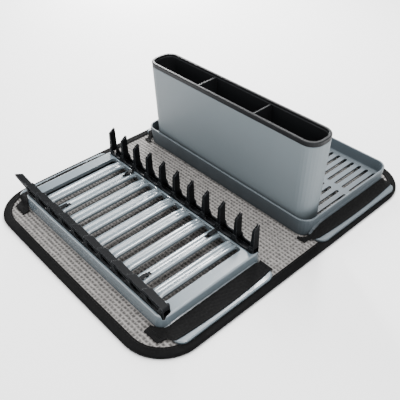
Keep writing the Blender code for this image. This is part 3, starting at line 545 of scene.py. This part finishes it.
@dataclass
class DryingMat:
    """The waffle-knit mat with its bound edge.

    Attributes:
        effects: The shared node groups.
        corner: The corner radius of the mat.
        tape: How far the binding reaches in over the mat.
        pitch: The width of a waffle cell.
        cell_depth: How deep a cell is.
        cell_steps: How many grid steps make up a cell.
        rib_dip: How far a rib dips between its crossings, as a share of a cell's depth.
        sag: How far the pad's top rises and falls along its length.
        fleece: How uneven the knit's height is from point to point.
        sway: How far a point of the knit wanders sideways.
        lap: Where the pad ends under the tape, as a share of the tape's reach.
        foot: How far the pad's underside stands above the binding's.
        bow: How far each long edge bows out.
        stitch: The length of a stitch.
        stitch_gap: The space between two stitches.
        thread: The stitching thread's radius.
        stitch_sink: How far the stitches lie below the binding's highest point.
        cloth: The thickness of the binding's tape.
        tape_sink: How far the tape lies below the frame's binding.
        seam_pull: How deep the stitching pulls the tape in.
        seam_spread: How far that pull reaches, as a share of the tape's reach.
        free_dip: How far the tape's free edge turns down.
        pucker: How high the tape puckers between stitches.
        wave: How high its slow waves are.
        corner_steps: How many steps a corner is drawn in.
        edge_steps: How many steps an edge is drawn in.
        stations: Where points lie across the tape's upper face, from its free edge outwards.
        seam: Where along those stations the stitching pulls the tape in.
    """

    effects: SharedEffects
    corner: float = 55 * MM
    tape: float = 12 * MM
    pitch: float = 5.2 * MM
    cell_depth: float = 1.7 * MM
    cell_steps: int = 3
    rib_dip: float = 0.3
    sag: float = 0.35 * MM
    fleece: float = 0.5 * MM
    sway: float = 0.7 * MM
    lap: float = 0.45
    foot: float = 0.6 * MM
    bow: float = 0.6 * MM
    stitch: float = 3.2 * MM
    stitch_gap: float = 1.1 * MM
    thread: float = 0.28 * MM
    stitch_sink: float = 0.35 * MM
    cloth: float = 0.4 * MM
    tape_sink: float = 0.1 * MM
    seam_pull: float = 0.32 * MM
    seam_spread: float = 0.07
    free_dip: float = 0.12 * MM
    pucker: float = 0.14 * MM
    wave: float = 0.25 * MM
    corner_steps: int = 16
    edge_steps: int = 36
    stations: tuple[float, ...] = (0.0, 0.06, 0.13, 0.2, 0.27, 0.36, 0.5, 0.65)
    seam: float = 0.2

    def __post_init__(self) -> None:
        """Reads the mat's place from the frame."""
        self.low, self.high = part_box("mat_binding")
        self.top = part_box("mat_pad")[1].z
        self.centre = (self.low + self.high) / 2

    def outline(self, inset: float) -> list[Vector]:
        """The mat's outline, moved in by an inset.

        Args:
            inset: How far in from the edge.

        Returns:
            Points round the mat, on Z = 0.
        """
        half = Vector((
            (self.high.x - self.low.x) / 2 - inset, (self.high.y - self.low.y) / 2 - inset
        ))
        radius = self.corner - inset
        points = []
        spans = (2 * (half.y - radius), 2 * (half.x - radius))
        for corner, (sx, sy) in enumerate(((1, 1), (-1, 1), (-1, -1), (1, -1))):
            middle = Vector((sx * (half.x - radius), sy * (half.y - radius)))
            for step in range(self.corner_steps + 1):
                turn = math.radians(90) * (corner + step / self.corner_steps)
                out = Vector((math.cos(turn), math.sin(turn)))
                points.append(middle + radius * out)
            start, run = points[-1].copy(), spans[(corner + 1) % 2]
            along = Vector((-math.sin(turn), math.cos(turn)))
            for step in range(1, self.edge_steps):
                share = step / self.edge_steps
                bowed = out * self.bow * math.sin(math.pi * share)
                points.append(start + along * run * share + bowed)
        return [Vector((self.centre.x + p.x, self.centre.y + p.y, 0.0)) for p in points]

    def build(self) -> None:
        """Builds and dresses the pad, the binding and its stitching."""
        pad = self.build_pad()
        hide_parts("mat_pad")
        binding = self.build_binding()
        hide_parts("mat_binding")
        stitches = self.build_stitches()

    def inside(self, x: float, y: float, cover: float) -> bool:
        """Whether a point lies inside the mat's outline, moved in by a share of the tape's reach.

        Args:
            x: The point's X.
            y: The point's Y.
            cover: The share of the tape's reach, from 0 at the mat's edge to 1 at the tape's.

        Returns:
            True if it lies inside.
        """
        inset = cover * self.tape
        half_x = (self.high.x - self.low.x) / 2 - inset
        half_y = (self.high.y - self.low.y) / 2 - inset
        radius = self.corner - inset
        over_x = max(abs(x - self.centre.x) - (half_x - radius), 0)
        over_y = max(abs(y - self.centre.y) - (half_y - radius), 0)
        return math.hypot(over_x, over_y) <= radius

    def build_pad(self) -> bpy.types.Object:
        """The pad: a knitted top of raised ribs round sunken cells, and a smooth underside.

        Returns:
            The pad.
        """
        material = WAFFLE.material(self.effects)
        bm = bmesh.new()
        step = self.pitch / self.cell_steps
        columns = int((self.high.x - self.low.x) / step / 2) + 1
        rows = int((self.high.y - self.low.y) / step / 2) + 1
        made: dict[tuple[int, int], bmesh.types.BMVert] = {}

        def crossing(column: int, row: int) -> bmesh.types.BMVert:
            """The point at one crossing of the knit, made once.

            Args:
                column: Its number along X.
                row: Its number along Y.

            Returns:
                The point.
            """
            if (column, row) not in made:
                x, y = column * step, row * step
                between = (column % self.cell_steps != 0) + (row % self.cell_steps != 0)
                in_cell = between == 2 or not self.inside(x, y, 1.0)
                depth = self.cell_depth if in_cell else self.rib_dip * self.cell_depth * between
                soft = self.sag * (ripple(x, y, 30, 0.0) - 0.4)
                jitter = self.fleece * ripple(x, y, 420, 3.0)
                made[(column, row)] = bm.verts.new((
                    x + self.sway * ripple(x, y, 240, 7.0),
                    y + self.sway * ripple(x, y, 240, 9.0),
                    min(self.top - depth + soft + jitter, self.top),
                ))
            return made[(column, row)]

        for column in range(-columns, columns):
            for row in range(-rows, rows):
                if self.inside((column + 0.5) * step, (row + 0.5) * step, self.lap):
                    bm.faces.new((
                        crossing(column, row), crossing(column + 1, row),
                        crossing(column + 1, row + 1), crossing(column, row + 1),
                    ))
        edge = [edge for edge in bm.edges if edge.is_boundary]
        skirt = bmesh.ops.extrude_edge_only(bm, edges=edge)["geom"]
        lower = [item for item in skirt if isinstance(item, bmesh.types.BMVert)]
        for vert in lower:
            vert.co.z = self.low.z + self.foot
        ring = [item for item in skirt if isinstance(item, bmesh.types.BMEdge) and item.is_boundary]
        bmesh.ops.contextual_create(bm, geom=ring)
        return new_piece("waffle_pad", bm, material)

    def build_binding(self) -> bpy.types.Object:
        """The binding: a tape folded round the mat's edge, puckered a little by its stitching.

        Returns:
            The binding.
        """
        material = BINDING_TAPE.material(self.effects)
        top, base = self.high.z, self.low.z
        middle, half = (top + base) / 2, (top - base) / 2
        outer, inner = [], []
        for share in self.stations:
            pulled = math.exp(-((share - self.seam) / self.seam_spread) ** 2)
            dip = self.seam_pull * pulled + self.free_dip * (share == 0)
            outer.append((self.tape * (1 - share), top - dip))
            inner.append((self.tape * (1 - share), top - dip - self.cloth))
        for turn in range(1, 10):
            angle = math.pi * turn / 10
            for path, radius in ((outer, half), (inner, half - self.cloth)):
                path.append((half - radius * math.sin(angle), middle + radius * math.cos(angle)))
        for share in (0.3, 0.6, 0.8, 1.0):
            inset = half + (self.tape - half) * share
            outer.append((inset, base))
            inner.append((inset, base + self.cloth))
        profile = outer + inner[::-1]
        rings = [self.outline(inset) for inset, _ in profile]
        rows = []
        for index in range(len(rings[0])):
            row = []
            for (inset, z), ring in zip(profile, rings):
                point = ring[index]
                height = z
                if z > middle:
                    pucker = self.pucker * ripple(point.x, point.y, 160, 1.0)
                    wave = self.wave * ripple(point.x, point.y, 26, 4.0)
                    height = min(z + (pucker + wave) - self.tape_sink, top)
                row.append(Vector((point.x, point.y, height)))
            rows.append(row)
        bm = bmesh.new()
        join_rows(bm, rows, around=True, along=True)
        return new_piece("edge_binding", bm, material)

    def build_stitches(self) -> bpy.types.Object:
        """The row of stitches that holds the binding, a little way in from its free edge.

        Returns:
            The stitches.
        """
        material = THREAD.material(self.effects)
        line = self.outline((1 - self.seam) * self.tape)
        raised = Vector((0, 0, self.high.z - self.stitch_sink))
        bm = bmesh.new()
        carried = 0.0
        spot = line[0].copy()
        for target in line[1:] + line[:1]:
            while True:
                left = (target - spot).length
                wanted = self.stitch - carried
                if left < wanted:
                    carried += left
                    spot = target.copy()
                    break
                ahead = (target - spot).normalized()
                end = spot + ahead * wanted
                start = end - ahead * self.stitch
                add_stitch(bm, start + raised, end + raised, self.thread)
                spot = end + ahead * min(self.stitch_gap, (target - end).length)
                carried = 0.0
        return new_piece("binding_stitches", bm, material)


@dataclass
class HoldDownStrap:
    """A strap of flat webbing over one wing of the rack or of the tray.

    Attributes:
        effects: The shared node groups.
        node: The frame's node that it stands for.
        side: The end of the rack that it is on.
        holds: The node whose wing it holds down.
        thickness: The webbing's thickness.
        across: How many points lie across it.
        along: The length of a step along it.
        margin: How far the webbing stays inside the frame's strap.
        sink: How far it lies below the frame's strap.
        rolled: How far its edges roll down.
        least: Its least thickness, at a rolled edge.
        crease: How high the creases are.
        crease_place: How far from the strap's front end the creases are deepest.
        crease_run: How far they spread along it.
        softness: How high its slow waves are.
        stitch_sink: How far the stitches lie below its upper face.
        thread: The stitching thread's radius.
    """

    effects: SharedEffects
    node: str
    side: Side
    holds: str
    thickness: float = 0.9 * MM
    across: int = 20
    along: float = 1.6 * MM
    margin: float = 0.1 * MM
    sink: float = 0.25 * MM
    rolled: float = 0.25 * MM
    least: float = 0.2 * MM
    crease: float = 0.22 * MM
    crease_place: float = 14 * MM
    crease_run: float = 9 * MM
    softness: float = 0.2 * MM
    stitch_sink: float = 0.15 * MM
    thread: float = 0.26 * MM

    def shape(self) -> list[list[Place]]:
        """Reads the strap's footprint and height from the frame.

        Returns:
            Rows of points (x, y, z) on its upper face, each from the wall outwards.
        """
        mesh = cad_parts[self.node].data
        points = [vertex.co.copy() for vertex in mesh.vertices]
        edges = [(points[a], points[b]) for a, b in (edge.vertices for edge in mesh.edges)]
        low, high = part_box(self.node)
        count = int((high.y - low.y) / self.along)
        rows = []
        for step in range(count + 1):
            y = low.y + self.margin / 2 + (high.y - low.y - self.margin) * step / count
            cut = []
            for a, b in edges:
                if (a.y - y) * (b.y - y) < 0:
                    cut.append(a.lerp(b, (y - a.y) / (b.y - a.y)))
            cut.sort(key=lambda point: self.side.value * point.x)
            near, far = cut[0].x, cut[-1].x
            inner = near + self.side.value * self.margin
            outer = far - self.side.value * self.margin
            row = []
            for place in range(self.across + 1):
                x = inner + (outer - inner) * place / self.across
                row.append((x, y, self.height(cut, x)))
            rows.append(row)
        return rows

    @staticmethod
    def height(cut: list[Vector], x: float) -> float:
        """The upper face's height at one X of a cross-section.

        Args:
            cut: The points where edges cross the section.
            x: The place wanted.

        Returns:
            The height of the upper envelope there.
        """
        bins: dict[int, Vector] = {}
        for point in cut:
            key = round(point.x / (0.4 * MM))
            if key not in bins or point.z > bins[key].z:
                bins[key] = point
        tops = sorted(bins.values(), key=lambda point: point.x)
        for a, b in zip(tops, tops[1:]):
            if a.x <= x <= b.x:
                return a.z + (b.z - a.z) * (x - a.x) / max(b.x - a.x, 1e-9)
        return tops[0].z if x < tops[0].x else tops[-1].z

    def build(self) -> None:
        """Builds and dresses the strap and its stitching."""
        rows = self.shape()
        sheet = self.build_web(rows)
        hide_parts(self.node)
        stitches = self.build_stitches(rows)

    def build_web(self, rows: list[list[Place]]) -> bpy.types.Object:
        """The webbing: a thin sheet with rolled edges, and creases where it climbs from the mat.

        Args:
            rows: Points on the strap's upper face.

        Returns:
            The strap.
        """
        start_y = rows[0][0][1]
        loops = []
        for row in rows:
            over, under = [], []
            for place, (x, y, z) in enumerate(row):
                share = place / self.across
                edge = min(share, 1 - share) * self.across
                roll = self.rolled * max(1 - edge, 0)
                away = (y - start_y - self.crease_place) / self.crease_run
                crease = self.crease * math.exp(-away ** 2)
                wave = math.sin(y * 900 + x * 260) * crease
                soft = self.softness * ripple(x, y, 60, 2.0)
                top = z - self.sink + wave + soft - roll
                thin = self.thickness - 2 * roll
                over.append(Vector((x, y, top)))
                under.append(Vector((x, y, top - max(thin, self.least))))
            loops.append(over + under[::-1])
        bm = bmesh.new()
        join_rows(bm, loops, around=True)
        for loop in (loops[0], loops[-1]):
            bm.faces.new([bm.verts.new(point) for point in loop])
        bmesh.ops.remove_doubles(bm, verts=bm.verts, dist=0.01 * MM)
        return new_piece(f"{self.node}_web", bm, STRAP_WEB.material(self.effects))

    def build_stitches(self, rows: list[list[Place]]) -> bpy.types.Object:
        """Two rows of stitches across the front end, one across the back end, and one along the
        outer edge.

        Args:
            rows: Points on the strap's upper face.

        Returns:
            The stitches.
        """
        bm = bmesh.new()
        lift = Vector((0, 0, -self.stitch_sink))
        for index in (2, 4, len(rows) - 3):
            row = [Vector(point) + lift for point in rows[index]]
            for place in range(1, self.across - 1, 2):
                add_stitch(bm, row[place], row[place].lerp(row[place + 1], 0.9), self.thread)
        for index in range(6, len(rows) - 6, 2):
            column = self.across - 2
            first = Vector(rows[index][column]) + lift
            last = Vector(rows[index + 1][column]) + lift
            add_stitch(bm, first, last, self.thread)
        return new_piece(f"{self.node}_stitches", bm, THREAD.material(self.effects))


@dataclass
class PlasticParts:
    """Carried-over parts of the frame that get one moulded finish.

    Attributes:
        effects: The shared node groups.
        finish: The finish that they get.
        names: The nodes' names, or the starts of their names.
    """

    effects: SharedEffects
    finish: Finish
    names: tuple[str, ...]

    def dress(self) -> None:
        """Puts the finish on every matching part."""
        material = self.finish.material(self.effects)
        for name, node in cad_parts.items():
            if name.startswith(self.names):
                for slot in node.material_slots:
                    slot.material = material
                LOG.info("%s: %s", name, self.finish.name)


@dataclass
class Studio:
    """The pale floor, the soft lights and the camera.

    Attributes:
        lens: The camera's focal length in millimetres, on a 36 mm sensor.
        place: Where the camera stands, in metres.
        azimuth: The way that it looks, in degrees.
        elevation: How far it looks down, in degrees.
        roll: How far it leans, in degrees.
        floor_half: Half the floor's width, in metres.
        floor_drop: How far the floor lies below the mat, in metres.
    """

    lens: float = 50.75
    place: Place = (0.4555, -0.4064, 0.4969)
    azimuth: float = 48.72
    elevation: float = 39.59
    roll: float = -1.49
    floor_half: float = 6.0
    floor_drop: float = 0.0002

    def build(self) -> None:
        """Makes the camera, the floor, the surround and the lights."""
        self.build_camera()
        self.build_floor()
        self.build_surround()
        self.add_panel("low_strip", (-0.95, 0.62, 0.50), (0.12, 0.9), 26.0)
        self.add_panel("high_strip", (-0.35, 0.62, 1.10), (0.12, 0.9), 22.0)
        self.add_panel("overhead_panel", (0.15, -0.15, 1.5), (1.3, 1.3), 40.0)
        self.add_panel("front_left_panel", (-0.35, -1.2, 0.55), (0.7, 0.5), 7.0)
        self.add_panel("side_fill_panel", (1.1, 0.0, 0.5), (0.6, 0.6), 5.0, (0.98, 0.99, 1.0))

    def build_camera(self) -> None:
        """Makes the camera from its place and angles."""
        azimuth = math.radians(self.azimuth)
        elevation = math.radians(self.elevation)
        roll = math.radians(self.roll)
        forward = Vector((
            -math.sin(azimuth) * math.cos(elevation),
            math.cos(azimuth) * math.cos(elevation),
            -math.sin(elevation),
        ))
        level = Vector((math.cos(azimuth), math.sin(azimuth), 0))
        upright = level.cross(forward)
        right = math.cos(roll) * level + math.sin(roll) * upright
        up = right.cross(forward)
        data = bpy.data.cameras.new("camera")
        data.lens = self.lens
        data.sensor_width = 36
        data.clip_start = 0.01
        camera = bpy.data.objects.new("camera", data)
        bpy.context.scene.collection.objects.link(camera)
        turned = Matrix((right, up, -forward)).transposed().to_4x4()
        camera.matrix_world = Matrix.Translation(self.place) @ turned
        bpy.context.scene.camera = camera

    def build_floor(self) -> None:
        """Makes the floor."""
        mesh = bpy.data.meshes.new("floor")
        half = self.floor_half
        corners = [
            (x * half, y * half, -self.floor_drop) for x, y in ((-1, -1), (1, -1), (1, 1), (-1, 1))
        ]
        mesh.from_pydata(corners, [], [(0, 1, 2, 3)])
        floor = bpy.data.objects.new("floor", mesh)
        bpy.context.scene.collection.objects.link(floor)
        made = bpy.data.materials.new("pale_floor")
        made.use_nodes = True
        shader = made.node_tree.nodes["Principled BSDF"]
        shader.inputs["Base Color"].default_value = (0.96, 0.96, 0.96, 1.0)
        shader.inputs["Roughness"].default_value = 0.9
        mesh.materials.append(made)

    def build_surround(self) -> None:
        """Lights the scene evenly from all round."""
        world = bpy.data.worlds.new("soft_surround")
        bpy.context.scene.world = world
        world.use_nodes = True
        sky = world.node_tree.nodes["Background"]
        sky.inputs["Color"].default_value = (*WHITE, 1.0)
        sky.inputs["Strength"].default_value = 0.55

    def add_panel(
        self, name: str, place: Place, size: tuple[float, float], power: float,
        colour: Colour = WHITE,
    ) -> None:
        """Adds a soft light panel aimed at the object.

        Args:
            name: The light's name.
            place: Where it hangs.
            size: Its width and height.
            power: Its power in watts.
            colour: Its colour.
        """
        data = bpy.data.lights.new(name, "AREA")
        data.shape = "RECTANGLE"
        data.size, data.size_y = size
        data.energy = power
        data.color = colour
        light = bpy.data.objects.new(name, data)
        bpy.context.scene.collection.objects.link(light)
        light.location = place
        aim = Vector((0, 0, 0.03)) - Vector(place)
        light.rotation_mode = "QUATERNION"
        light.rotation_quaternion = aim.to_track_quat("-Z", "Y")


def main() -> None:
    """Builds every sub-assembly in order."""
    logging.basicConfig(level=logging.INFO, format="%(name)s: %(message)s")
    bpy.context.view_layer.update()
    effects = SharedEffects()
    Studio().build()
    DryingMat(effects).build()
    for side in Side:
        end = side.name.lower()
        HoldDownStrap(effects, f"rack_strap_{end}", side, "plate_rack_frame").build()
        HoldDownStrap(effects, f"tray_strap_{end}", side, "drain_tray").build()
    PlasticParts(effects, GREY_SATIN, ("plate_rack_frame",)).dress()
    PlasticParts(effects, TRAY_GREY, ("drain_tray",)).dress()
    PlasticParts(effects, SLEEVE_GREY, ("caddy_sleeve",)).dress()
    PlasticParts(effects, LINER_PLASTIC, ("caddy_liner",)).dress()
    PlasticParts(effects, BLACK_PLASTIC, ("tine_",)).dress()


if __name__ == "__main__":
    main()
